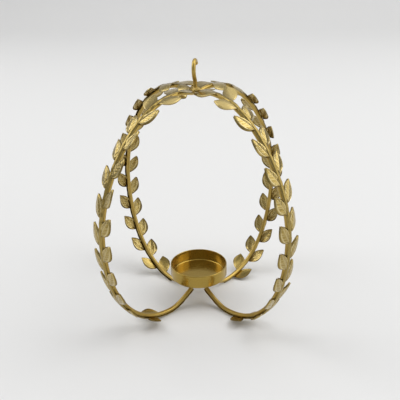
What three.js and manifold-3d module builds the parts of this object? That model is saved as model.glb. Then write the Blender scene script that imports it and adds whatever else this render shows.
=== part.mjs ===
// Tealight holder: an open, egg-shaped cage of four bent rods with a small cup in its middle.
// Each rod carries a stamped leaf garland on its outer side, and a wire hook stands on the crown.
// Millimetres, +Z up, floor at z = 0, the axis of the cage on Z, the front towards -Y.
import * as THREE from 'three';
import { mergeVertices } from 'three/addons/utils/BufferGeometryUtils.js';
import Module from 'manifold-3d';

const wasm = await Module();
wasm.setup();

// Clearance at every seat between two pieces.
const fitGap = 0.3;

// Cup for one tealight.
const tealightDiameter = 38.5;
const tealightPlay = 3;
const cupWall = 0.8;
const cupHeight = 10.2;
const cupUnderside = 20.7;
const cupCornerRadius = 1.6;

// Rods: the places that each rib passes, measured from the axis and from the floor to the rod's centre.
const rodDiameter = 3;
const seatStraight = 3;
const footRadius = 29.4;
const bellyRadius = 84;
const bellyHeight = 79.1;
const crownRadius = 14.2;
const crownHeight = 165.5;
const crownDip = 1.6;

// How far each bend of a rib reaches along the rod, before and after the places above.
const seatReach = 2.2;
const footReachIn = 10;
const footReachOut = 33.9;
const bellyReachDown = 44.1;
const bellyReachUp = 40.1;
const crownReachOut = 37.1;
const crownReachIn = 6.8;
const apexReach = 4;

// Leaf garland: a flat stem that lies along the outer side of the rod, with alternate leaves. The stem
// starts under the cup or at the foot, and ends at the crown, each at a radius from the axis.
const stemWidth = 3.3;
const stemThickness = 1.1;
const frontStart = 8;
const backRightStart = 28.4;
const backLeftStart = 33;
const stemEnd = 5;
const footFlat = 0.45;
const leafLength = 15.8;
const leafWidth = 9.3;
const leafThickness = 0.7;
const leafAngle = THREE.MathUtils.degToRad(27.4);
const leafSeat = 1.2;
const leafCurl = 0.8;
const leafPitch = 18.8;
const leafStagger = 7.5;
const footLeafCurl = 2.6;

// Where the edge of a leaf swells on its way from the base to the tip, as shares of its length, and how much
// of its width lies on the side away from the stem.
const leafBaseSwell = 0.3;
const leafTipSwell = 0.62;
const leafOuterShare = 0.55;

// Along each rod: how far past its lowest point the lowest leaf starts, and how far short of the stem's end
// the last leaf of the even row starts.
const frontLeftFootLeaf = 8;
const frontLeftTopLeaf = 18.4;
const frontRightFootLeaf = 9;
const frontRightTopLeaf = 16.3;
const backRightFootLeaf = 8.8;
const backRightTopLeaf = 20.1;
const backLeftFootLeaf = 13.1;
const backLeftTopLeaf = 15.8;

const ribs = [
  { place: 'front_left', azimuth: 225, start: frontStart, foot: frontLeftFootLeaf, top: frontLeftTopLeaf },
  { place: 'front_right', azimuth: 315, start: frontStart, foot: frontRightFootLeaf, top: frontRightTopLeaf },
  { place: 'back_right', azimuth: 45, start: backRightStart, foot: backRightFootLeaf, top: backRightTopLeaf },
  { place: 'back_left', azimuth: 135, start: backLeftStart, foot: backLeftFootLeaf, top: backLeftTopLeaf },
];

// Hanging hook, a question mark in wire whose plane is turned about the axis.
const hookWire = 2.8;
const hookLoopRadius = 5.5;
const hookRise = 15.8;
const hookStemStraight = 3;
const hookTipPastTop = THREE.MathUtils.degToRad(62);
const hookTurn = THREE.MathUtils.degToRad(83);

// Weld beads.
const cupWeldWidth = 2;
const cupWeldHeight = 1.8;
const crownWeldWidth = 1.8;
const crownWeldHeight = 1.8;

// Fineness of the facets.
const rodSides = 8;
const rodSteps = 52;
const stemSteps = 48;
const leafSegments = 5;
const hookSteps = 26;
const latheSegments = 48;
const beadSegments = 24;
const beadDivisions = 4;
const halvings = 40;

// Sizes that follow from the ones above.
const rodRadius = rodDiameter / 2;
const bundleRadius = (rodDiameter + fitGap) / Math.SQRT2;
const cupOuterRadius = (tealightDiameter + tealightPlay) / 2 + cupWall;
const seatHeight = cupUnderside - fitGap;
const stemInner = rodRadius + fitGap;
const stemOuter = stemInner + stemThickness;
const footHeight = stemOuter - footFlat;
const apexRadius = Math.max(hookWire, rodDiameter) / 2 + fitGap;
const apexHeight = crownHeight - crownDip;
const crownWeldRadius = hookWire / 2 + fitGap + crownWeldWidth;
const hookLoopHeight = apexHeight + hookRise;
const leafTipAcross = leafSeat + leafLength * Math.sin(leafAngle);

// A flat path of distances from the axis and heights, stood up in the X-Z plane, from one fraction
// of its length to another.
class UprightCurve extends THREE.Curve {
  constructor(path, from = 0, to = 1) {
    super();
    this.path = path;
    this.from = from;
    this.to = to;
  }

  getPoint(t, target = new THREE.Vector3()) {
    const point = this.path.getPointAt(THREE.MathUtils.lerp(this.from, this.to, t));
    return target.set(point.x, 0, point.y);
  }
}

// Centre line of a rib: down from the cup, out over the foot, up round the belly, in over the crown.
function ribLine() {
  const sweepStart = seatHeight - seatStraight;
  const line = new THREE.Path();
  line.moveTo(bundleRadius, seatHeight);
  line.lineTo(bundleRadius, sweepStart);
  line.bezierCurveTo(
    bundleRadius, sweepStart - seatReach,
    footRadius - footReachIn, footHeight,
    footRadius, footHeight,
  );
  line.bezierCurveTo(
    footRadius + footReachOut, footHeight,
    bellyRadius, bellyHeight - bellyReachDown,
    bellyRadius, bellyHeight,
  );
  line.bezierCurveTo(
    bellyRadius, bellyHeight + bellyReachUp,
    crownRadius + crownReachOut, crownHeight,
    crownRadius, crownHeight,
  );
  line.bezierCurveTo(
    crownRadius - crownReachIn, crownHeight,
    apexRadius + apexReach, apexHeight,
    apexRadius, apexHeight,
  );
  return line;
}

const rib = ribLine();
const ribLength = rib.getLength();
const [, lowestPoint, bellyPoint] = rib.getCurveLengths();
const cupEnd = -lowestPoint;
const crownEnd = ribLength - lowestPoint;

// Place on the rib and its outward normal, at a distance past the lowest point.
function ribFrame(distance) {
  const fraction = THREE.MathUtils.clamp((lowestPoint + distance) / ribLength, 0, 1);
  const along = rib.getTangentAt(fraction);
  return { centre: rib.getPointAt(fraction), outward: new THREE.Vector2(along.y, -along.x) };
}

// Distance past the lowest point at which a rib, on its way from the belly to one of its ends, comes
// within a radius of the axis.
function reachOfRadius(radius, end) {
  let outside = bellyPoint - lowestPoint;
  let inside = end;
  for (let halving = 0; halving < halvings; halving += 1) {
    const middle = (outside + inside) / 2;
    if (ribFrame(middle).centre.x > radius) {
      outside = middle;
    } else {
      inside = middle;
    }
  }
  return outside;
}

// Closed mesh to solid, and back.
function toSolid(geometry) {
  const bare = geometry.clone();
  bare.deleteAttribute('normal');
  bare.deleteAttribute('uv');
  const welded = mergeVertices(bare);
  const vertProperties = new Float32Array(welded.attributes.position.array);
  const triVerts = new Uint32Array(welded.index.array);
  return new wasm.Manifold(new wasm.Mesh({ numProp: 3, vertProperties, triVerts }));
}

function toGeometry(solid) {
  const { vertProperties, triVerts } = solid.getMesh();
  const geometry = new THREE.BufferGeometry();
  geometry.setAttribute('position', new THREE.BufferAttribute(vertProperties, 3));
  geometry.setIndex(new THREE.BufferAttribute(triVerts, 1));
  geometry.computeVertexNormals();
  return geometry;
}

// Turns an outline of radii and heights about the upright axis.
function turned(outline, divisions, segments) {
  return new THREE.LatheGeometry(outline.getPoints(divisions), segments).rotateX(Math.PI / 2);
}

function roundBar(diameter, curve, steps) {
  const section = new THREE.Shape();
  section.absarc(0, 0, diameter / 2, 0, 2 * Math.PI);
  return new THREE.ExtrudeGeometry(section, { extrudePath: curve, steps, curveSegments: rodSides / 2 });
}

function cupGeometry() {
  const rim = cupUnderside + cupHeight;
  const innerRadius = cupOuterRadius - cupWall;
  const innerCorner = cupCornerRadius - cupWall;
  const cornerHeight = cupUnderside + cupCornerRadius;
  const profile = new THREE.Path();
  profile.moveTo(0, cupUnderside);
  profile.lineTo(cupOuterRadius - cupCornerRadius, cupUnderside);
  profile.absarc(cupOuterRadius - cupCornerRadius, cornerHeight, cupCornerRadius, -Math.PI / 2, 0);
  profile.lineTo(cupOuterRadius, rim);
  profile.lineTo(innerRadius, rim);
  profile.lineTo(innerRadius, cornerHeight);
  profile.absarc(innerRadius - innerCorner, cornerHeight, innerCorner, 0, -Math.PI / 2, true);
  profile.lineTo(0, cupUnderside + cupWall);
  return turned(profile, 1, latheSegments);
}

// Fillet bead round an upright bar: flat below, tapered up to the bar.
function filletBead(inner, width, height) {
  const bead = new THREE.Path();
  bead.moveTo(inner, 0);
  bead.lineTo(inner + width, 0);
  bead.quadraticCurveTo(inner + fitGap, fitGap, inner, height);
  bead.closePath();
  return turned(bead, beadDivisions, beadSegments);
}

// The bead under the cup hangs round the bundle of rod ends, the one on the crown stands round the hook.
function cupWeldGeometry() {
  const bead = filletBead(bundleRadius + rodRadius + fitGap, cupWeldWidth, cupWeldHeight);
  return bead.rotateX(Math.PI).translate(0, 0, seatHeight);
}

function crownWeldGeometry() {
  const { centre } = ribFrame(reachOfRadius(crownWeldRadius, crownEnd));
  const bead = filletBead(crownWeldRadius - crownWeldWidth, crownWeldWidth, crownWeldHeight);
  return bead.translate(0, 0, centre.y + rodRadius + fitGap);
}

// Wraps a flat piece round the rib: X goes across it, Y along it from the given distance, Z outward.
// What stands out past the stem curls in towards the rod.
function bend(geometry, distance, curl) {
  const overhang = leafTipAcross - stemWidth / 2;
  const position = geometry.attributes.position;
  for (let i = 0; i < position.count; i += 1) {
    const across = position.getX(i);
    const { centre, outward } = ribFrame(distance + position.getY(i));
    const past = Math.max(Math.abs(across) - stemWidth / 2, 0) / overhang;
    const lift = position.getZ(i) - curl * past * past;
    position.setXYZ(i, centre.x + outward.x * lift, across, centre.y + outward.y * lift);
  }
  return geometry;
}

// One flat pointed leaf on the given side of the stem, +1 or -1.
function leafSolid(side, distance, curl) {
  const base = leafLength * leafBaseSwell;
  const tip = leafLength * leafTipSwell;
  const swell = side * leafWidth * 4 / 3;
  const outer = swell * -leafOuterShare;
  const inner = swell * (1 - leafOuterShare);
  const outline = new THREE.Shape();
  outline.moveTo(0, 0);
  outline.bezierCurveTo(base, inner, tip, inner, leafLength, 0);
  outline.bezierCurveTo(tip, outer, base, outer, 0, 0);
  const leaf = new THREE.ExtrudeGeometry(outline, {
    depth: leafThickness, steps: 1, bevelEnabled: false, curveSegments: leafSegments,
  });
  leaf.rotateZ(Math.PI / 2 - side * leafAngle);
  leaf.translate(side * leafSeat, 0, stemInner + (stemThickness - leafThickness) / 2);
  return toSolid(bend(leaf, distance, curl));
}

// Stem of a garland: a flat bar along the rib, from its cut end below to near the axis at the crown.
function stemSolid(start, end) {
  const section = new THREE.Shape();
  section.moveTo(-stemWidth / 2, stemInner);
  section.lineTo(stemWidth / 2, stemInner);
  section.lineTo(stemWidth / 2, stemOuter);
  section.lineTo(-stemWidth / 2, stemOuter);
  const curve = new UprightCurve(rib, (lowestPoint + start) / ribLength, (lowestPoint + end) / ribLength);
  return toSolid(new THREE.ExtrudeGeometry(section, { extrudePath: curve, steps: stemSteps }));
}

// The quarter of the crown that belongs to one rib, short of the weld in the middle. The last leaves of
// neighbouring garlands meet along its sides.
function quarter() {
  const corner = fitGap / Math.SQRT2;
  const reach = 2 * bellyRadius;
  const height = 2 * crownHeight;
  const outline = new THREE.Shape();
  outline.moveTo(corner, 0);
  outline.lineTo(reach, corner - reach);
  outline.lineTo(reach, reach - corner);
  const wedge = new THREE.ExtrudeGeometry(outline, { depth: height, steps: 1, bevelEnabled: false });
  const clear = crownWeldRadius + fitGap;
  const middle = new THREE.CylinderGeometry(clear, clear, height, latheSegments);
  middle.rotateX(Math.PI / 2).translate(0, 0, height / 2);
  return toSolid(wedge).subtract(toSolid(middle));
}

// Stem and leaves, cut to the rib's own quarter. The quarter starts at the floor, so the foot is flat.
function garlandGeometry({ start, foot, top }) {
  const end = reachOfRadius(stemEnd, crownEnd);
  let garland = stemSolid(reachOfRadius(start, cupEnd), end);
  for (const side of [-1, 1]) {
    const stagger = side < 0 ? 0 : leafStagger;
    const lowest = foot + stagger;
    garland = garland.add(leafSolid(side, lowest, footLeafCurl));
    for (let leaf = end - top + stagger; leaf > lowest + leafPitch / 2; leaf -= leafPitch) {
      garland = garland.add(leafSolid(side, leaf, leafCurl));
    }
  }
  return toGeometry(garland.intersect(quarter()));
}

// Centre line of the hook: up from the crown, forward, over the top and down to the tip behind.
function hookLine() {
  const foot = apexHeight - rodRadius;
  const waist = hookLoopHeight - hookLoopRadius;
  const line = new THREE.Path();
  line.moveTo(0, foot);
  line.lineTo(0, foot + rodDiameter + hookStemStraight);
  line.bezierCurveTo(0, waist, -hookLoopRadius, waist, -hookLoopRadius, hookLoopHeight);
  line.absarc(0, hookLoopHeight, hookLoopRadius, Math.PI, Math.PI / 2 - hookTipPastTop, true);
  return line;
}

function goldPaint(color, roughness) {
  return new THREE.MeshStandardMaterial({ color, roughness, metalness: 0.75 });
}

function piece(name, geometry, material) {
  const mesh = new THREE.Mesh(geometry, material);
  mesh.name = name;
  return mesh;
}

const holder = new THREE.Group();
holder.add(piece('tealight_cup', cupGeometry(), goldPaint(0xa08038, 0.35)));
holder.add(piece('cup_weld', cupWeldGeometry(), goldPaint(0x8f7434, 0.5)));
holder.add(piece('crown_weld', crownWeldGeometry(), goldPaint(0x8f7434, 0.5)));

for (const { place, azimuth, ...garland } of ribs) {
  const group = new THREE.Group();
  group.rotation.z = THREE.MathUtils.degToRad(azimuth);
  const rod = roundBar(rodDiameter, new UprightCurve(rib), rodSteps);
  group.add(piece(`rib_rod_${place}`, rod, goldPaint(0x98793a, 0.4)));
  group.add(piece(`leaf_strip_${place}`, garlandGeometry(garland), goldPaint(0xa8935a, 0.42)));
  holder.add(group);
}

const hookBar = roundBar(hookWire, new UprightCurve(hookLine()), hookSteps);
const hook = piece('hanging_hook', hookBar, goldPaint(0x98793a, 0.4));
hook.rotation.z = hookTurn;
holder.add(hook);

export default holder;
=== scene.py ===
"""Looks of the leaf-garland tealight holder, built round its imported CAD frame."""

import math
from typing import NamedTuple

import bpy
import numpy as np
from mathutils import Matrix

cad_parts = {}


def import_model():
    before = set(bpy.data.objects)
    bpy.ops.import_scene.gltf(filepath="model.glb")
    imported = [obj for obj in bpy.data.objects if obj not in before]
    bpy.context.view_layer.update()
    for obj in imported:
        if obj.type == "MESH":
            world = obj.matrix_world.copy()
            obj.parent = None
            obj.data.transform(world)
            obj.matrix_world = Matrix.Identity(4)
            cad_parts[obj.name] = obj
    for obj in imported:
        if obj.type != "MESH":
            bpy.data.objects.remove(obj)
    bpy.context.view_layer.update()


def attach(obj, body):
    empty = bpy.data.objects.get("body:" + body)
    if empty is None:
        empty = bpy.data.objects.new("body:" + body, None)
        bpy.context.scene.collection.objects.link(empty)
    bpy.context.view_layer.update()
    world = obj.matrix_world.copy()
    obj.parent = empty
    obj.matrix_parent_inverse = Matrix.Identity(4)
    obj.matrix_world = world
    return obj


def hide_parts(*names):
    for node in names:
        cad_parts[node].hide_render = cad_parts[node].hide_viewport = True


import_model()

MM = 0.001
RNG = np.random.default_rng(seed=7)

# Sizes in millimetres, and angles in degrees. They follow the solids, without the clearance that these leave
# wherever two pieces meet.
ROD_RADIUS = 1.5
ROD_CLEARANCE = 0.3

CUP_RADIUS = 21.55
CUP_WALL = 0.8
CUP_UNDERSIDE = 20.7
CUP_RIM = 30.9
CUP_CORNER = 1.6
CUP_FLOOR_RINGS = (8, 16)
CUP_FLOOR_SWELLS = (0.09, 0.05)

# Places that the centre of a rod passes, from the axis and from the floor, and how far each bend reaches.
BUNDLE_RADIUS = (2 * ROD_RADIUS + ROD_CLEARANCE) / math.sqrt(2)
SEAT_HEIGHT = CUP_UNDERSIDE
SEAT_STRAIGHT = 3.3
SEAT_REACH = 2.2
FOOT = (29.4, 2.45)
FOOT_REACH_IN = 10
FOOT_REACH_OUT = 33.9
BELLY = (84.0, 79.1)
BELLY_REACH_DOWN = 44.1
BELLY_REACH_UP = 40.1
CROWN = (14.2, 165.5)
CROWN_REACH_OUT = 37.1
CROWN_REACH_IN = 6.8
APEX = (ROD_RADIUS, 163.9)
APEX_REACH = 4
PAST_AXIS = 15

# Hook: a straight foot, a sway out and a loop, in a plane that is turned about the axis.
HOOK_RADIUS = 1.4
HOOK_STRAIGHT = 6
HOOK_LOOP = 5.5
HOOK_LOOP_HEIGHT = 179.7
HOOK_LOOP_START = 180
HOOK_LOOP_END = 28
HOOK_TURN = 83

# Welds: a bead hangs under the cup round the rods, and another stands on the crown round the hook.
CUP_WELD_WIDTH = 2.2
CUP_WELD_HEIGHT = -2.0
CROWN_WELD_WIDTH = 2.0
CROWN_WELD_HEIGHT = 1.9
CROWN_WELD_SEAT = 165.6
BEAD_BASE = 0.25
BEAD_SINK = 0.3

# Shares of a bead's width and height that shape its flank.
BEAD_FLANK = ((0.75, 0.45), (0.3, 0.75))

# Lumps of a bead: height, number round the ring and phase of each wave, and how strongly they lift the flank.
BEAD_LUMPS = ((0.09, 9, 0.7), (0.06, 17, 2.1), (0.05, 4, 0))
BEAD_LUMP_LIFT = 4.4

# Garland. A leaf's swells and outer share are shares of its length and of its width.
LEAF_LENGTH = 15.8
LEAF_WIDTH = 9.3
LEAF_SKIN = 0.5
LEAF_RISE = 1.95
LEAF_ANGLE = 27.4
LEAF_SEAT = 1.2
LEAF_PITCH = 18.8
LEAF_STAGGER = 7.5
LEAF_BASE_SWELL = 0.3
LEAF_TIP_SWELL = 0.62
LEAF_OUTER_SHARE = 0.55
LEAF_CURL_REACH = 6.6
STEM_HALF = 1.6
STEM_TOP = 2.75
STEM_END_RADIUS = 5

# A stem has round shoulders, a slightly narrower side towards the rod, and a groove along its middle, as wide
# as a share of its half width.
STEM_ROUND = 0.95
STEM_ROUND_POWER = 2.6
STEM_INNER = 1.45
STEM_INNER_SHARE = 0.92
GROOVE_WIDTH = 0.22
GROOVE_DEPTH = 0.16

# Waves that make a stem uneven: height, length per radian and phase of each, and how much they widen it.
STEM_WAVES = ((0.07, 1.9, 0), (0.06, 0.83, 1.7))
STEM_WAVE_WIDENS = 0.4

# A stem thins out and flattens over its last stretch, towards the crown.
STEM_THIN = 0.7
STEM_THIN_LENGTH = 30
STEM_THIN_FADE = 12
STEM_THIN_FLATTENS = 0.6

# Painted shade in the groove and on the thin end of a stem: how dark the paint is there.
GROOVE_PAINTED_SHADE = 0.4
THIN_END_PAINTED_SHADE = 0.7

# Stamped relief of a leaf: a raised line runs inside a plain margin, and the panel within it has raised
# veins. Where the line lies and the panel ends are shares of the way to the edge and to the tip. A fade is
# how fast something comes up, per share or, for veins, per millimetre.
LINE_AT = 0.72
LINE_WIDTH = 0.1
LINE_HEIGHT = 0.4
PANEL_RISE = 0.5
PANEL_END = 0.94
PANEL_SIDE_FADE = 8
PANEL_TIP_FADE = 6
PANEL_BASE_FADE = 7
MARGIN_DROP = 0.5
MARGIN_POWER = 1.5
MIDRIB_HEIGHT = 0.18
MIDRIB_WIDTH = 0.36
VEIN_COUNT = 6
VEIN_HEIGHT = 0.14
VEIN_WIDTH = 0.33
VEIN_START = 0.6
VEIN_PITCH = 2.2
VEIN_STAGGER = 0.5
VEIN_SLOPE = 0.95
VEIN_FADE = 4

# Crinkles of the panel: a chequer of two waves and a slanting wave, in radians per millimetre.
CRINKLE_HEIGHT = 0.02
CRINKLE_ALONG = 1.9
CRINKLE_ACROSS = 2.3
CRINKLE_SLANT = (3.1, -1.7)
CRINKLE_SLANT_SHARE = 0.7
CRINKLE_PHASE = 6

# What chance changes: the slope and place of a vein, and the swing, place, bow and roll of a leaf.
VEIN_SLOPE_CHANCE = 0.3
VEIN_PLACE_CHANCE = 0.7
SWING_CHANCE = 2.5
SLIP_CHANCE = 0.35
BOW_CHANCE = 0.5
ROLL_CHANCE = (-0.5, 0.4)
RELIEF_DRAWS = 2 * VEIN_COUNT + 3

# Painted highlight on a leaf's raised places, and painted shade at its root and along its edge: how bright
# and how dark.
LINE_PAINTED_HIGHLIGHT_POWER = 1.7
PANEL_PAINTED_HIGHLIGHT = 0.5
PAINTED_HIGHLIGHT_BASE_FADE = 6
ROOT_SHARE = 0.2
EDGE_FROM = 0.82
EDGE_PAINTED_SHADE = 0.75

# Share of the relief on the leaf at the foot and on the last two at the crown, and the least painted
# highlight that those two have all over.
FLAT_RELIEF = 0.2
CROWN_PAINTED_HIGHLIGHT = 0.28

# How far the last leaf of each side bows at the crown: out on one side and in on the other, so that leaves of
# two ribs can cross.
CROWN_BOWS = {-1: 0.5, 1: -0.9}

# Fineness of the meshes.
UNDER_POINTS = 200
SIDE_POINTS = 400
DIP_POINTS = 120
PAST_POINTS = 40
TUBE_SIDES = 20
ROD_RINGS = 230
DOME_RINGS = 5
LEAF_ROWS = 40
LEAF_COLUMNS = 29
STEM_COLUMNS = 11
STEM_STEP = 0.5
CUP_SEGMENTS = 128
CUP_WALL_ROWS = 5
CUP_CORNER_POINTS = 9
CUP_FLOOR_CORNER_POINTS = 11
HOOK_STEM_POINTS = 12
HOOK_SWAY_POINTS = 30
HOOK_LOOP_POINTS = 44
BEAD_SEGMENTS = 72
BEAD_POINTS = 9
SWEEP_POINTS = 25

# Domed ends of a tube: the share of a quarter turn at which the dome starts, and its depth as a share of the
# radius.
DOME_START = 0.12
DOME_DEPTH = 0.45

# Where along its outline a leaf's mesh starts and ends, just short of the points.
LEAF_SPAN = (0.02, 0.99)

# Edges that stay sharp under smooth shading.
SHARP_ANGLE = 40
GARLAND_SHARP_ANGLE = 50


class Rib(NamedTuple):
    """A rib's azimuth, and its garland's places along the rod.

    start is how far from the axis the stem starts, foot how far past the rod's lowest point the lowest leaf
    starts, and top how far short of the stem's end the last leaf starts. near is the side that looks to the
    front. The stem lies beside the middle of the rod by shift. The last field is how dark the painted shadow
    is on the stem's side towards the rod."""
    azimuth: float
    start: float
    foot: float
    top: float
    near: int
    shift: float
    # How dark the painted shadow is on the stem's side towards the rod.
    slit_painted_shadow: float


RIBS = {
    "front_left": Rib(azimuth=225, start=8.0, foot=8.0, top=18.4, near=1, shift=0, slit_painted_shadow=0.25),
    "front_right": Rib(azimuth=315, start=8.0, foot=9.0, top=16.3, near=-1, shift=0, slit_painted_shadow=0.25),
    "back_right": Rib(azimuth=45, start=28.4, foot=8.8, top=20.1, near=-1, shift=0.6, slit_painted_shadow=0.6),
    "back_left": Rib(azimuth=135, start=33.0, foot=13.1, top=15.8, near=1, shift=0.3, slit_painted_shadow=1.0),
}


class Bend(NamedTuple):
    """How a leaf is bent.

    Its outer edge curls in towards the rod, its tip bows out, it swings away from the stem, in degrees, and
    it is pushed off sideways."""
    curl: float = 0.0
    bow: float = 0.0
    swing: float = 0.0
    push: float = 0.0


NEAR_BEND = Bend(curl=0.1)
FAR_BEND = Bend(curl=0.8)
FOOT_BEND = Bend(curl=2.6)

# Leaves that are bent otherwise: rib, side and number from the foot.
LEAF_BENDS = {
    ("front_left", -1, 0): Bend(curl=1.3, swing=-8, push=0.9),
    ("front_left", -1, 6): Bend(curl=1.3),
    ("front_left", -1, 8): Bend(curl=1.6),
    ("front_left", -1, 10): Bend(curl=-0.8),
    ("front_left", 1, 0): Bend(curl=1.0, swing=4, push=0.6),
    ("front_left", 1, 6): Bend(curl=-1.6),
    ("front_left", 1, 7): Bend(curl=-1.3, swing=-3),
    ("front_left", 1, 8): Bend(curl=-2.0, swing=-3),
    ("front_left", 1, 10): Bend(curl=1.2),
    ("front_right", -1, 0): Bend(curl=1.2),
    ("front_right", -1, 8): Bend(curl=-0.9),
    ("front_right", -1, 10): Bend(curl=1.4),
    ("front_right", -1, 11): Bend(curl=1.6),
    ("front_right", 1, 0): Bend(curl=0.6, swing=-8),
    ("front_right", 1, 2): Bend(curl=0.8, bow=1.4),
    ("front_right", 1, 3): Bend(curl=0.8, bow=-1.4),
    ("front_right", 1, 4): Bend(curl=0.8, bow=0.8),
    ("front_right", 1, 5): Bend(curl=1.6, bow=-0.8),
    ("front_right", 1, 10): Bend(curl=-1.4, swing=6),
    ("back_right", -1, 0): Bend(curl=0.4),
    ("back_right", -1, 7): Bend(curl=2.0),
    ("back_right", -1, 10): Bend(curl=2.0),
    ("back_right", -1, 11): Bend(curl=2.4),
    ("back_right", 1, 10): Bend(),
    ("back_right", 1, 11): Bend(curl=-0.5, bow=0.6),
    ("back_left", -1, 10): Bend(curl=-0.4),
    ("back_left", -1, 11): Bend(curl=-0.5, bow=-1.0),
    ("back_left", 1, 0): Bend(curl=0.4),
    ("back_left", 1, 10): Bend(curl=2.6),
    ("back_left", 1, 11): Bend(curl=2.8),
}


class Noise(NamedTuple):
    """A noise in the paint: its scale per metre, its detail, and the span of its values that counts."""
    scale: float
    detail: float
    low: float = 0
    high: float = 1


# Paint. It drifts towards a mix of its colour and its shade, and is flecked with the shade.
DRIFT = Noise(scale=55, detail=3, low=0.35, high=0.7)
DRIFT_MOST = 0.55
DRIFT_COLOUR_SHARE = 0.62
SPECK = Noise(scale=2600, detail=2, low=0.3, high=0.72)
SPECK_MOST = 0.16

# How far the roughness goes below and above its mean, and the fine grain of the surface, in metres.
GLOSS = Noise(scale=140, detail=3, low=0.3, high=0.75)
GLOSS_SPAN = (-0.05, 0.09)
COAT_ROUGHNESS = 0.16
GRAIN = Noise(scale=1900, detail=3)
GRAIN_DEPTH = 0.00006

# Colours of the painted shadow and painted highlight, and the most of these and of the painted shade.
SLIT_PAINTED_SHADOW_COLOUR = (0.03, 0.016, 0.004)
SLIT_PAINTED_SHADOW_MOST = 0.95
PAINTED_HIGHLIGHT_COLOUR = (0.9, 0.77, 0.43)
PAINTED_HIGHLIGHT_MOST = 0.62
PAINTED_SHADE_MOST = 0.75

# Floor of pale paper, in metres: it lies flat under the holder and sweeps up far behind it.
FLOOR_FRONT = -3.0
FLOOR_BACK = 1.4
FLOOR_BEND = 1.0
FLOOR_TOP = 3.2
FLOOR_HALF_WIDTH = 5.0
FLOOR_COLOUR = (0.76, 0.76, 0.757)
FLOOR_ROUGHNESS = 0.75
FLOOR_SPECULAR = 0.2

WORLD_COLOUR = (0.8, 0.8, 0.8)
WORLD_STRENGTH = 0.5

# Camera as fitted to the photograph: its angles in degrees, its distance and aim in millimetres, and its
# focal length in pixels of the picture.
CAMERA_YAW = 1.845
CAMERA_RISE = 24.24
CAMERA_ROLL = 0.98
CAMERA_DISTANCE = 425.3
CAMERA_AIM_RIGHT = 1.87
CAMERA_AIM_HEIGHT = 83.78
CAMERA_FOCAL_PIXELS = 579.7
PICTURE_PIXELS = 400
SENSOR_WIDTH = 36
CLIP_SPAN = (0.01, 60)


# Rib line

def bezier(p0, p1, p2, p3, count):
    t = np.linspace(0, 1, count)[:, None]
    p0, p1, p2, p3 = (np.array(p, float) for p in (p0, p1, p2, p3))
    return (1 - t) ** 3 * p0 + 3 * (1 - t) ** 2 * t * p1 + 3 * (1 - t) * t ** 2 * p2 + t ** 3 * p3


def rib_line():
    """Points (distance from the axis, height) of a rod's centre, and which of them are its foot and its end.

    The line goes on past the end, level over the axis, for the leaves that reach across the crown."""
    sweep = SEAT_HEIGHT - SEAT_STRAIGHT
    down = np.array([(BUNDLE_RADIUS, SEAT_HEIGHT), (BUNDLE_RADIUS, sweep)])
    under = bezier((BUNDLE_RADIUS, sweep), (BUNDLE_RADIUS, sweep - SEAT_REACH),
                   (FOOT[0] - FOOT_REACH_IN, FOOT[1]), FOOT, UNDER_POINTS)
    belly = bezier(FOOT, (FOOT[0] + FOOT_REACH_OUT, FOOT[1]),
                   (BELLY[0], BELLY[1] - BELLY_REACH_DOWN), BELLY, SIDE_POINTS)
    shoulder = bezier(BELLY, (BELLY[0], BELLY[1] + BELLY_REACH_UP),
                      (CROWN[0] + CROWN_REACH_OUT, CROWN[1]), CROWN, SIDE_POINTS)
    dip = bezier(CROWN, (CROWN[0] - CROWN_REACH_IN, CROWN[1]),
                 (APEX[0] + APEX_REACH, APEX[1]), APEX, DIP_POINTS)
    past = np.linspace(APEX, (-PAST_AXIS, APEX[1]), PAST_POINTS)
    points = np.concatenate([down, under[1:], belly[1:], shoulder[1:], dip[1:], past[1:]])
    foot = len(down) + len(under) - 2
    end = len(points) - len(past)
    return points, foot, end


LINE, FOOT_INDEX, END_INDEX = rib_line()
STEPS = np.linalg.norm(np.diff(LINE, axis=0), axis=1)
LENGTHS = np.concatenate([[0], np.cumsum(STEPS)])
LENGTHS -= LENGTHS[FOOT_INDEX]
ROD_END = float(LENGTHS[END_INDEX])
TANGENTS = np.gradient(LINE, LENGTHS, axis=0)
TANGENTS /= np.linalg.norm(TANGENTS, axis=1)[:, None]


def rib_frame(distance):
    """Centre and outward normal of the rod, at distances past its lowest point."""
    centre = np.stack([np.interp(distance, LENGTHS, LINE[:, i]) for i in (0, 1)], -1)
    along = np.stack([np.interp(distance, LENGTHS, TANGENTS[:, i]) for i in (0, 1)], -1)
    return centre, np.stack([along[..., 1], -along[..., 0]], -1)


def wrap(across, along, out):
    """Places across, along and out from a rod's centre line, in the rod's own upright plane."""
    centre, outward = rib_frame(along)
    flat = centre + outward * np.asarray(out)[..., None]
    return np.stack([flat[..., 0], np.broadcast_to(across, flat.shape[:-1]), flat[..., 1]], -1)


def turn(points, azimuth):
    """Turns points about the axis, from the plane of X and Z."""
    a = math.radians(azimuth)
    x, y, z = points[..., 0], points[..., 1], points[..., 2]
    return np.stack([x * math.cos(a) - y * math.sin(a), x * math.sin(a) + y * math.cos(a), z], -1)


def reach_of_radius(radius, below=False):
    """Distance past the lowest point at which a rod passes a radius, above or below its belly."""
    belly = int(np.argmax(LINE[:, 0]))
    if below:
        return float(np.interp(radius, LINE[:belly, 0], LENGTHS[:belly]))
    return float(np.interp(-radius, -LINE[belly:, 0], LENGTHS[belly:]))


# Meshes

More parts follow.
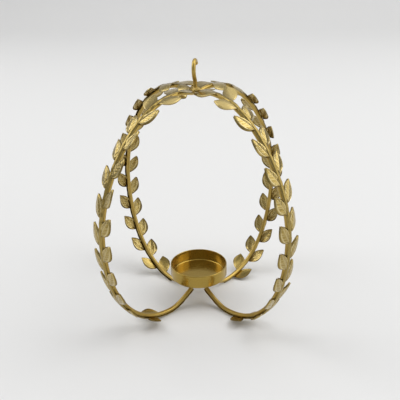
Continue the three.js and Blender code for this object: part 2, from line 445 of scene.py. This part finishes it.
class Shell:
    """Collects closed shells, with numbers for each point that a material reads."""

    def __init__(self):
        self.points, self.faces, self.marks, self.count = [], [], {}, 0

    def add(self, points, faces, **marks):
        """Adds one closed shell. A mark is one number for all its points, or one for each."""
        points = np.asarray(points, float).reshape(-1, 3)
        self.points.append(points)
        self.faces += [[i + self.count for i in face] for face in faces]
        for name, values in marks.items():
            values = np.broadcast_to(np.asarray(values, float).ravel(), len(points))
            self.marks.setdefault(name, []).append(values)
        self.count += len(points)

    def piece(self, name, material, node, sharp=SHARP_ANGLE):
        """Makes the piece of the scene that stands for a node of the solids."""
        mesh = bpy.data.meshes.new(name)
        mesh.from_pydata((np.concatenate(self.points) * MM).tolist(), [], self.faces)
        for mark, values in self.marks.items():
            layer = mesh.attributes.new(mark, "FLOAT", "POINT")
            layer.data.foreach_set("value", np.concatenate(values))
        mesh.shade_smooth()
        mesh.set_sharp_from_angle(angle=math.radians(sharp))
        mesh.materials.append(material)
        mesh.validate()
        obj = bpy.data.objects.new(name, mesh)
        bpy.context.collection.objects.link(obj)
        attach(obj, "root")
        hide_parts(node)


def grid_faces(rows, columns, closed=False):
    """Faces between rows of points, whose ends meet if the rows are closed rings."""
    wide = columns if closed else columns - 1
    return [
        [r * columns + c, r * columns + (c + 1) % columns,
         (r + 1) * columns + (c + 1) % columns, (r + 1) * columns + c]
        for r in range(rows - 1) for c in range(wide)
    ]


def bar_faces(rings, sides):
    """Faces of a bar made of rings, with flat ends."""
    faces = grid_faces(rings, sides, closed=True)
    faces.append(list(range(sides))[::-1])
    faces.append([(rings - 1) * sides + i for i in range(sides)])
    return faces


def sheet_faces(rows, columns):
    """Faces of a thin closed sheet: the points of its face come first, and those of its back follow."""
    count = rows * columns
    face = grid_faces(rows, columns)
    back = [[i + count for i in reversed(f)] for f in face]
    border = list(range(columns)) + [i * columns + columns - 1 for i in range(1, rows)]
    border += [(rows - 1) * columns + i for i in range(columns - 2, -1, -1)]
    border += [i * columns for i in range(rows - 2, 0, -1)]
    rim = [[j, i, i + count, j + count] for i, j in zip(border, border[1:] + border[:1])]
    return face + back + rim


def tube(points, normals, radius):
    """A round bar along points in an upright plane, with domed ends."""
    angles = np.linspace(0, 2 * np.pi, TUBE_SIDES, endpoint=False)
    along = np.stack([-normals[:, 1], normals[:, 0]], -1)
    turns = np.linspace(DOME_START, 1, DOME_RINGS) * np.pi / 2
    dome = list(zip(np.cos(turns) * DOME_DEPTH, np.sin(turns)))
    last = len(points) - 1
    plan = [(0, -lean, share) for lean, share in dome]
    plan += [(i, 0, 1) for i in range(1, last)]
    plan += [(last, lean, share) for lean, share in reversed(dome)]
    rings = []
    for i, slip, share in plan:
        r = radius * share
        flat = points[i] + along[i] * slip * radius + normals[i] * (r * np.cos(angles))[:, None]
        rings.append(np.stack([flat[:, 0], r * np.sin(angles), flat[:, 1]], -1))
    return np.concatenate(rings), bar_faces(len(rings), TUBE_SIDES)


def lathe(profile, segments):
    """Turns a profile of (radius, height) about the axis: one that starts and ends on it, or a ring's."""
    profile = np.array(profile, float)
    a = np.linspace(0, 2 * np.pi, segments, endpoint=False)
    on_axis = profile[0, 0] == 0 and profile[-1, 0] == 0
    inner = profile[1:-1] if on_axis else profile
    rows = len(inner)
    points = np.stack([np.outer(inner[:, 0], np.cos(a)), np.outer(inner[:, 0], np.sin(a)),
                       np.repeat(inner[:, 1:], segments, 1)], -1).reshape(-1, 3)
    faces = grid_faces(rows, segments, closed=True)
    last = (rows - 1) * segments
    if on_axis:
        points = np.concatenate([points, [[0, 0, profile[0, 1]], [0, 0, profile[-1, 1]]]])
        low, high = rows * segments, rows * segments + 1
        for i in range(segments):
            j = (i + 1) % segments
            faces.append([low, j, i])
            faces.append([high, last + i, last + j])
    else:
        faces += [[last + i, last + (i + 1) % segments, (i + 1) % segments, i] for i in range(segments)]
    return points, faces


def arc(cx, cy, r, a0, a1, count):
    a = np.radians(np.linspace(a0, a1, count))
    return [(cx + r * math.cos(t), cy + r * math.sin(t)) for t in a]


# Garland

def leaf_crinkle(a, b, draws):
    """Uneven waves of a leaf's panel, at places along and across it."""
    phase = CRINKLE_PHASE * draws
    chequer = np.sin(a * CRINKLE_ALONG + phase[0]) * np.sin(b * CRINKLE_ACROSS + phase[1])
    slant = np.sin(a * CRINKLE_SLANT[0] + b * CRINKLE_SLANT[1] + phase[2])
    return chequer + CRINKLE_SLANT_SHARE * slant


def leaf_relief(a, b, edge, draws):
    """Height of a leaf's face, and how much painted highlight lies on its raised places.

    a and b are places along and across the leaf, and edge is the share of the way out to its edge."""
    u = a / LEAF_LENGTH
    panel = np.clip((LINE_AT - edge) * PANEL_SIDE_FADE, 0, 1)
    panel = panel * np.clip((PANEL_END - u) * PANEL_TIP_FADE, 0, 1) * np.clip(u * PANEL_BASE_FADE, 0, 1)
    dome = np.where(edge < LINE_AT, 1 - (edge / LINE_AT) ** 2, 0)
    margin = np.clip((edge - LINE_AT) / (1 - LINE_AT), 0, 1)
    line = np.exp(-((edge - LINE_AT) / LINE_WIDTH) ** 2)
    midrib = np.exp(-(b / MIDRIB_WIDTH) ** 2)
    slopes, places, waves = np.split(draws, (VEIN_COUNT, 2 * VEIN_COUNT))
    vein = np.zeros_like(b)
    for side in (-1, 1):
        half = np.clip(side * b * VEIN_FADE, 0, 1)
        for k in range(VEIN_COUNT):
            slope = VEIN_SLOPE + VEIN_SLOPE_CHANCE * slopes[k] * side
            start = VEIN_START + VEIN_PITCH * k + VEIN_PLACE_CHANCE * places[k] + VEIN_STAGGER * side
            away = (a - start - np.abs(b) * slope) / math.hypot(1, slope)
            vein = np.maximum(vein, half * np.exp(-(away / VEIN_WIDTH) ** 2))
    vein = vein * panel * (1 - midrib)
    crinkle = leaf_crinkle(a, b, waves)
    # Painted highlight on the raised line, and on the midrib and veins.
    worn = np.maximum(line ** LINE_PAINTED_HIGHLIGHT_POWER, panel * PANEL_PAINTED_HIGHLIGHT * np.maximum(midrib, vein ** 2))
    height = PANEL_RISE * dome + LINE_HEIGHT * line - MARGIN_DROP * margin ** MARGIN_POWER
    height += panel * (MIDRIB_HEIGHT * midrib + CRINKLE_HEIGHT * crinkle) + VEIN_HEIGHT * vein
    return height, worn * np.clip(u * PAINTED_HIGHLIGHT_BASE_FADE, 0, 1)


def add_leaf(shell, azimuth, side, distance, bend, stamp, least_highlight):
    """One leaf, bent by the amounts given and by a little chance.

    stamp is the share of the relief that it has, and the last argument the least painted highlight that it
    has."""
    t = np.linspace(*LEAF_SPAN, LEAF_ROWS)[:, None]
    v = np.linspace(-1, 1, LEAF_COLUMNS)[None, :]
    a = 3 * (1 - t) ** 2 * t * LEAF_BASE_SWELL + 3 * (1 - t) * t ** 2 * LEAF_TIP_SWELL + t ** 3
    a = np.broadcast_to(a * LEAF_LENGTH, (LEAF_ROWS, LEAF_COLUMNS))
    share = np.where(v * side > 0, 1 - LEAF_OUTER_SHARE, LEAF_OUTER_SHARE)
    b = v * 4 * t * (1 - t) * LEAF_WIDTH * share
    u = a / LEAF_LENGTH
    edge = np.broadcast_to(np.abs(v), b.shape)

    relief, worn = leaf_relief(a, b, edge, RNG.uniform(-1, 1, RELIEF_DRAWS))
    relief, worn = stamp * relief, np.maximum(stamp * worn, least_highlight)
    swing = LEAF_ANGLE + bend.swing + RNG.uniform(-SWING_CHANCE, SWING_CHANCE)
    slip = RNG.uniform(-SLIP_CHANCE, SLIP_CHANCE)
    bow = bend.bow + RNG.uniform(-BOW_CHANCE, BOW_CHANCE)
    roll = side * RNG.uniform(*ROLL_CHANCE)

    angle = side * math.radians(swing)
    across = side * (LEAF_SEAT + bend.push) + a * math.sin(angle) - b * math.cos(angle)
    along = distance + slip + a * math.cos(angle) + b * math.sin(angle)
    past_stem = np.maximum(np.abs(across) - STEM_HALF, 0) / LEAF_CURL_REACH
    rise = LEAF_RISE + bow * u ** 2 + roll * b / LEAF_WIDTH * 2 * u - bend.curl * past_stem ** 2 + relief
    face = turn(wrap(across, along, rise), azimuth)
    back = turn(wrap(across, along, rise - LEAF_SKIN), azimuth)

    # Painted shade at the leaf's root and along its edge.
    root = np.clip(1 - u / ROOT_SHARE, 0, 1)
    crease = np.maximum(root, EDGE_PAINTED_SHADE * np.clip((edge - EDGE_FROM) / (1 - EDGE_FROM), 0, 1))
    shell.add(np.stack([face, back]), sheet_faces(LEAF_ROWS, LEAF_COLUMNS),
              crease=np.stack([crease, crease]), worn=np.stack([worn, worn]), inner=0)


def add_stem(shell, rib, start, end):
    """Half-round stem, slightly uneven along its length, with its inner side towards the rod."""
    rows = int((end - start) / STEM_STEP)
    s = np.linspace(start, end, rows)[:, None]
    v = np.linspace(-1, 1, STEM_COLUMNS)[None, :]
    wave = sum(height * np.sin(s / length + phase) for height, length, phase in STEM_WAVES)
    half = v * STEM_HALF * (1 + STEM_WAVE_WIDENS * wave)
    groove = np.exp(-(v / GROOVE_WIDTH) ** 2)
    thin = STEM_THIN * np.clip((s - end + STEM_THIN_LENGTH) / STEM_THIN_FADE, 0, 1)
    shoulder = STEM_ROUND * np.abs(v) ** STEM_ROUND_POWER * (1 - STEM_THIN_FLATTENS * thin)
    height = STEM_TOP + wave - thin - shoulder - GROOVE_DEPTH * groove

    along = np.broadcast_to(s, half.shape)
    outer = wrap(rib.shift + half, along, height)
    inner = wrap(rib.shift + STEM_INNER_SHARE * half, along, np.full_like(half, STEM_INNER))
    rings = turn(np.concatenate([outer, inner[:, ::-1]], 1), rib.azimuth)

    plain = np.zeros_like(half)
    # Painted shade in the groove and on the thin end, and a painted shadow on the side towards the rod.
    crease = np.maximum(GROOVE_PAINTED_SHADE * groove, THIN_END_PAINTED_SHADE * thin)
    shell.add(rings, bar_faces(rows, 2 * STEM_COLUMNS), crease=np.concatenate([crease, plain], 1), worn=0,
              inner=np.concatenate([plain, plain + rib.slit_painted_shadow], 1))


def garland(place, rib, material):
    """Stem and leaves of one rib. What would reach below the floor lies flat on it."""
    shell = Shell()
    end = reach_of_radius(STEM_END_RADIUS)
    add_stem(shell, rib, reach_of_radius(rib.start, below=True), end)
    for side in (-1, 1):
        stagger = LEAF_STAGGER if side > 0 else 0
        lowest = rib.foot + stagger
        row = np.arange(end - rib.top + stagger, lowest + LEAF_PITCH / 2, -LEAF_PITCH)[::-1]
        usual = NEAR_BEND if side == rib.near else FAR_BEND
        for number, distance in enumerate([lowest, *row]):
            bend = LEAF_BENDS.get((place, side, number), usual if number else FOOT_BEND)
            if number == len(row):
                bend = bend._replace(bow=bend.bow + CROWN_BOWS[side])
            at_crown = number >= len(row) - 1
            stamp = FLAT_RELIEF if number == 0 or at_crown else 1
            # The last two leaves get a painted highlight all over.
            least_highlight = CROWN_PAINTED_HIGHLIGHT if at_crown else 0
            add_leaf(shell, rib.azimuth, side, distance, bend, stamp, least_highlight)
    for points in shell.points:
        points[:, 2] = np.maximum(points[:, 2], 0)
    shell.piece(f"garland_{place}", material, f"leaf_strip_{place}", sharp=GARLAND_SHARP_ANGLE)


# Rods, cup, hook and welds

def rod(place, rib, material):
    centre, outward = rib_frame(np.linspace(LENGTHS[0], ROD_END, ROD_RINGS))
    points, faces = tube(centre, outward, ROD_RADIUS)
    shell = Shell()
    shell.add(turn(points, rib.azimuth), faces)
    shell.piece(f"rod_{place}", material, f"rib_rod_{place}")


def cup(material):
    """Pressed cup with round corners, a round lip and a floor that swells a little towards its middle."""
    inner = CUP_RADIUS - CUP_WALL
    lip = CUP_WALL / 2
    corner = CUP_UNDERSIDE + CUP_CORNER
    inside = CUP_UNDERSIDE + CUP_WALL
    heights = np.linspace(corner, CUP_RIM - lip, CUP_WALL_ROWS)[1:-1]
    near, far = CUP_FLOOR_RINGS
    middle, edge = CUP_FLOOR_SWELLS
    profile = [(0, CUP_UNDERSIDE), (near, CUP_UNDERSIDE), (far, CUP_UNDERSIDE)]
    profile += arc(CUP_RADIUS - CUP_CORNER, corner, CUP_CORNER, -90, 0, CUP_CORNER_POINTS)
    profile += [(CUP_RADIUS, z) for z in heights]
    profile += arc(CUP_RADIUS - lip, CUP_RIM - lip, lip, 0, 180, CUP_CORNER_POINTS)
    profile += [(inner, z) for z in heights[::-1]]
    profile += arc(inner - CUP_WALL, inside + CUP_WALL, CUP_WALL, 0, -90, CUP_FLOOR_CORNER_POINTS)
    profile += [(far, inside + edge), (near, inside + middle), (0, inside + middle)]
    shell = Shell()
    shell.add(*lathe(profile, CUP_SEGMENTS))
    shell.piece("cup", material, "tealight_cup")


def hook(material):
    foot = APEX[1] - ROD_RADIUS
    neck = foot + HOOK_STRAIGHT
    waist = HOOK_LOOP_HEIGHT - HOOK_LOOP
    stem = np.linspace((0, foot), (0, neck), HOOK_STEM_POINTS)
    sway = bezier((0, neck), (0, waist), (-HOOK_LOOP, waist),
                  (-HOOK_LOOP, HOOK_LOOP_HEIGHT), HOOK_SWAY_POINTS)
    loop = arc(0, HOOK_LOOP_HEIGHT, HOOK_LOOP, HOOK_LOOP_START, HOOK_LOOP_END, HOOK_LOOP_POINTS)
    line = np.concatenate([stem, sway[1:], loop[1:]])
    along = np.gradient(line, axis=0)
    along /= np.linalg.norm(along, axis=1)[:, None]
    points, faces = tube(line, np.stack([along[:, 1], -along[:, 0]], -1), HOOK_RADIUS)
    shell = Shell()
    shell.add(turn(points, HOOK_TURN), faces)
    shell.piece("hook", material, "hanging_hook")


def bead(name, node, inner, width, seat, height, material):
    """A weld bead: a fillet ring whose flank is lumpy where it was laid in short steps.

    It runs round a bar of the inner radius and stands on a face at the height of its seat, or hangs from that
    face if its own height is below zero."""
    up = math.copysign(1, height)
    outline = [(inner + width, seat)]
    outline += [(inner + wide * width, seat + high * height) for wide, high in BEAD_FLANK]
    flank = bezier(*outline, (inner, seat + height), BEAD_POINTS)
    base = seat - up * BEAD_BASE
    back = [(inner - BEAD_SINK, seat + height), (inner - BEAD_SINK, base), (inner + width, base)]
    profile = np.concatenate([flank, back])
    if height < 0:
        profile = profile[::-1]
    points, faces = lathe(profile, BEAD_SEGMENTS)
    angle = np.arctan2(points[:, 1], points[:, 0])
    lump = sum(size * np.sin(number * angle + phase) for size, number, phase in BEAD_LUMPS)
    share = np.clip((np.hypot(points[:, 0], points[:, 1]) - inner) / width, 0, 1)
    points[:, 2] += up * lump * BEAD_LUMP_LIFT * share * (1 - share)
    points[:, :2] *= (1 + lump * share / inner)[:, None]
    shell = Shell()
    shell.add(points, faces)
    shell.piece(name, material, node)


# Materials

def gold(name, colour, shade, roughness, metallic, coat, grit, marks=False):
    """Gold spray paint: a colour that drifts a little, fine grain, and painted highlight and shade at marks.
    """
    material = bpy.data.materials.new(name)
    material.use_nodes = True
    tree = material.node_tree
    node, link = tree.nodes.new, tree.links.new
    shader = tree.nodes["Principled BSDF"]
    place = node("ShaderNodeTexCoord").outputs["Object"]

    def noise(kind):
        n = node("ShaderNodeTexNoise")
        n.inputs["Scale"].default_value = kind.scale
        n.inputs["Detail"].default_value = kind.detail
        link(place, n.inputs["Vector"])
        return n.outputs["Fac"]

    def ramp(value, low, high, to_low, to_high):
        n = node("ShaderNodeMapRange")
        n.inputs["From Min"].default_value = low
        n.inputs["From Max"].default_value = high
        n.inputs["To Min"].default_value = to_low
        n.inputs["To Max"].default_value = to_high
        link(value, n.inputs["Value"])
        return n.outputs["Result"]

    def mix(factor, a, b):
        n = node("ShaderNodeMix")
        n.data_type = "RGBA"
        link(factor, n.inputs["Factor"])
        for socket, value in ((n.inputs["A"], a), (n.inputs["B"], b)):
            if isinstance(value, tuple):
                socket.default_value = (*value, 1)
            else:
                link(value, socket)
        return n.outputs["Result"]

    drifted = tuple(DRIFT_COLOUR_SHARE * c + (1 - DRIFT_COLOUR_SHARE) * s for c, s in zip(colour, shade))
    tone = mix(ramp(noise(DRIFT), DRIFT.low, DRIFT.high, 0, DRIFT_MOST), colour, drifted)
    tone = mix(ramp(noise(SPECK), SPECK.low, SPECK.high, 0, SPECK_MOST), tone, shade)
    if marks:
        # Painted shade in creases, painted highlight on raised places, and a painted shadow on the stem's
        # side by the rod.
        tones = (("crease", PAINTED_SHADE_MOST, shade), ("worn", PAINTED_HIGHLIGHT_MOST, PAINTED_HIGHLIGHT_COLOUR), ("inner", SLIT_PAINTED_SHADOW_MOST, SLIT_PAINTED_SHADOW_COLOUR))
        for mark, most, other in tones:
            n = node("ShaderNodeAttribute")
            n.attribute_name = mark
            tone = mix(ramp(n.outputs["Fac"], 0, 1, 0, most), tone, other)
    link(tone, shader.inputs["Base Color"])
    smooth, rough = (roughness + change for change in GLOSS_SPAN)
    link(ramp(noise(GLOSS), GLOSS.low, GLOSS.high, smooth, rough), shader.inputs["Roughness"])
    shader.inputs["Metallic"].default_value = metallic
    shader.inputs["Coat Weight"].default_value = coat
    shader.inputs["Coat Roughness"].default_value = COAT_ROUGHNESS
    grain = node("ShaderNodeBump")
    grain.inputs["Strength"].default_value = grit
    grain.inputs["Distance"].default_value = GRAIN_DEPTH
    link(noise(GRAIN), grain.inputs["Height"])
    link(grain.outputs["Normal"], shader.inputs["Normal"])
    return material


# Floor, light and camera

def floor():
    turns = np.radians(np.linspace(-90, 0, SWEEP_POINTS))
    profile = [(FLOOR_FRONT, 0)]
    profile += [(FLOOR_BACK + FLOOR_BEND * math.cos(t), FLOOR_BEND + FLOOR_BEND * math.sin(t)) for t in turns]
    profile.append((FLOOR_BACK + FLOOR_BEND, FLOOR_TOP))
    points = [(x, y, z) for y, z in profile for x in (-FLOOR_HALF_WIDTH, FLOOR_HALF_WIDTH)]
    mesh = bpy.data.meshes.new("floor")
    mesh.from_pydata(points, [], [[2 * i, 2 * i + 1, 2 * i + 3, 2 * i + 2] for i in range(len(profile) - 1)])
    mesh.shade_smooth()
    material = bpy.data.materials.new("floor_paper")
    material.use_nodes = True
    shader = material.node_tree.nodes["Principled BSDF"]
    shader.inputs["Base Color"].default_value = (*FLOOR_COLOUR, 1)
    shader.inputs["Roughness"].default_value = FLOOR_ROUGHNESS
    shader.inputs["Specular IOR Level"].default_value = FLOOR_SPECULAR
    mesh.materials.append(material)
    obj = bpy.data.objects.new("floor", mesh)
    bpy.context.collection.objects.link(obj)


def world():
    studio = bpy.data.worlds.new("studio")
    bpy.context.scene.world = studio
    studio.use_nodes = True
    background = studio.node_tree.nodes["Background"]
    background.inputs["Color"].default_value = (*WORLD_COLOUR, 1)
    background.inputs["Strength"].default_value = WORLD_STRENGTH


def stand(name, data, right, up, back, place):
    """Puts a lamp or a camera at a place, looking away from its back."""
    obj = bpy.data.objects.new(name, data)
    obj.matrix_world = Matrix([*zip(right, up, back, place), (0, 0, 0, 1)])
    bpy.context.collection.objects.link(obj)
    return obj


def lamp(name, place, aim, size, power):
    """A flat lamp: its place, aim and size in metres, and its power in watts."""
    data = bpy.data.lights.new(name, "AREA")
    data.shape = "RECTANGLE"
    data.size, data.size_y = size
    data.energy = power
    back = np.array(place, float) - np.array(aim, float)
    back /= np.linalg.norm(back)
    right = np.cross((0, 0, 1), back)
    right /= np.linalg.norm(right)
    stand(name, data, right, np.cross(back, right), back, place)


def camera():
    yaw, rise, roll = (math.radians(angle) for angle in (CAMERA_YAW, CAMERA_RISE, CAMERA_ROLL))
    back = np.array([math.sin(yaw) * math.cos(rise), -math.cos(yaw) * math.cos(rise), math.sin(rise)])
    level = np.array([math.cos(yaw), math.sin(yaw), 0])
    steep = np.cross(back, level)
    right = level * math.cos(roll) - steep * math.sin(roll)
    up = level * math.sin(roll) + steep * math.cos(roll)
    aim = level * CAMERA_AIM_RIGHT + np.array([0, 0, CAMERA_AIM_HEIGHT])
    data = bpy.data.cameras.new("camera")
    data.sensor_fit = "HORIZONTAL"
    data.sensor_width = SENSOR_WIDTH
    data.lens = SENSOR_WIDTH * CAMERA_FOCAL_PIXELS / PICTURE_PIXELS
    data.clip_start, data.clip_end = CLIP_SPAN
    place = (aim + back * CAMERA_DISTANCE) * MM
    bpy.context.scene.camera = stand("camera", data, right, up, back, place)


leaf_paint = gold("leaf_paint", colour=(0.4, 0.29, 0.076), shade=(0.11, 0.068, 0.012),
                  roughness=0.24, metallic=0.95, coat=0.28, grit=0.14, marks=True)
rod_paint = gold("rod_paint", colour=(0.52, 0.36, 0.09), shade=(0.15, 0.095, 0.014),
                 roughness=0.34, metallic=0.94, coat=0.15, grit=0.14)
cup_paint = gold("cup_paint", colour=(0.43, 0.295, 0.06), shade=(0.32, 0.21, 0.04),
                 roughness=0.2, metallic=0.95, coat=0.2, grit=0.08)
weld_paint = gold("weld_paint", colour=(0.4, 0.28, 0.075), shade=(0.12, 0.075, 0.015),
                  roughness=0.4, metallic=0.85, coat=0.2, grit=0.3)

cup(cup_paint)
for place, rib in RIBS.items():
    rod(place, rib, rod_paint)
    garland(place, rib, leaf_paint)
hook(rod_paint)
bead("weld_under_cup", "cup_weld", inner=BUNDLE_RADIUS + ROD_RADIUS, width=CUP_WELD_WIDTH,
     seat=CUP_UNDERSIDE, height=CUP_WELD_HEIGHT, material=weld_paint)
bead("weld_on_crown", "crown_weld", inner=HOOK_RADIUS, width=CROWN_WELD_WIDTH,
     seat=CROWN_WELD_SEAT, height=CROWN_WELD_HEIGHT, material=weld_paint)

floor()
world()
lamp("overhead", place=(0.6, 0.55, 2.3), aim=(0.1, 0.3, 0.08), size=(2.4, 2.4), power=16.2)
lamp("right_panel", place=(1.86, -0.5, 0.8), aim=(0, 0, 0.08), size=(2.0, 1.6), power=12)
lamp("right_key", place=(1.2, 0.2, 1.65), aim=(0, 0, 0.08), size=(1.5, 1.5), power=12)
lamp("left_panel", place=(-1.5, 0.45, 0.95), aim=(0, 0, 0.1), size=(1.2, 0.8), power=5)
lamp("left_key", place=(-1.2, 0.25, 1.75), aim=(0, 0, 0.08), size=(1.2, 1.2), power=9.5)
camera()
bpy.context.scene.view_settings.view_transform = "Standard"
